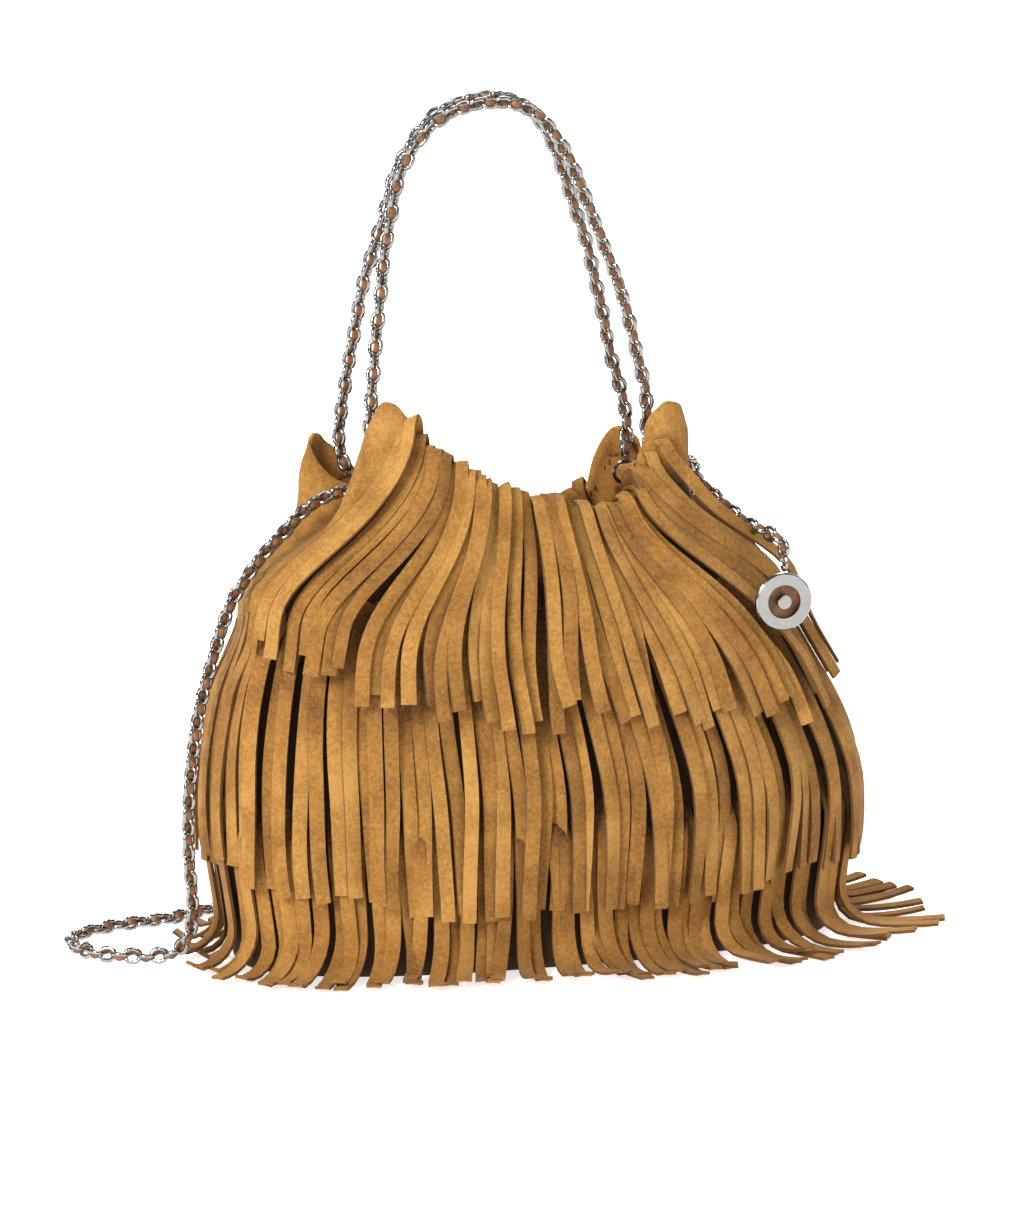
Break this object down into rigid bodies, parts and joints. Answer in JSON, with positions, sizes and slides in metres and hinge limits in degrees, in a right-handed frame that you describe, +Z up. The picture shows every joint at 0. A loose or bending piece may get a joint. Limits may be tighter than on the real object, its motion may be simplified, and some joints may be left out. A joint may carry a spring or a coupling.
{
  "type": "fringed suede bag",
  "caption": "Soft hobo bag of tan suede with tiers of cut fringe, woven chain handles, a long chain strap lying on the floor and a hanging round medallion.",
  "frame": {"origin": "middle of the base's underside, on the floor that the bag stands on", "axes": "+Z up, -Y towards the front, +X to the wearer's right as seen from the front"},
  "size_m": [0.4405, 0.2192, 0.4304],
  "materials": {
    "suede": "napped tan suede",
    "lining": "woven cotton",
    "board": "plain stiffener",
    "chain_metal": "polished silver links",
    "silver_metal": "polished silver",
    "strap_leather": "smooth brown leather"
  },
  "bodies": {
    "root": {"back_handle_chain": "chain_metal", "back_left_handle_ring": "silver_metal", "back_left_handle_tab": "strap_leather", "back_lower_fringe": "suede", "back_middle_fringe": "suede", "back_panel": "suede", "back_right_handle_ring": "silver_metal", "back_right_handle_tab": "strap_leather", "back_upper_fringe": "suede", "base_board": "board", "base_panel": "suede", "charm_chain": "chain_metal", "front_handle_chain": "chain_metal", "front_left_handle_ring": "silver_metal", "front_left_handle_tab": "strap_leather", "front_lower_fringe": "suede", "front_middle_fringe": "suede", "front_panel": "suede", "front_right_handle_ring": "silver_metal", "front_right_handle_tab": "strap_leather", "front_upper_fringe": "suede", "left_gusset": "suede", "left_strap_ring": "silver_metal", "left_strap_tab": "strap_leather", "lining": "lining", "long_strap_chain": "chain_metal", "right_gusset": "suede", "right_strap_ring": "silver_metal", "right_strap_tab": "strap_leather", "snap_cup": "silver_metal", "snap_stud": "silver_metal"},
    "charm_ring": {"charm_ring": "silver_metal"},
    "charm": {"charm_plate": "silver_metal", "charm_leather_back": "strap_leather", "charm_stud": "silver_metal"}
  },
  "joints": [
    {"name": "ring_swing", "type": "hinge", "parent": "root", "child": "charm_ring", "pos_m": [0.114, -0.059, 0.2031], "axis": [1, 0, 0], "range_deg": [-80, 0]},
    {"name": "charm_sway", "type": "hinge", "parent": "charm_ring", "child": "charm", "pos_m": [0.114, -0.059, 0.1947], "axis": [0, 1, 0], "range_deg": [-60, 20]}
  ]
}
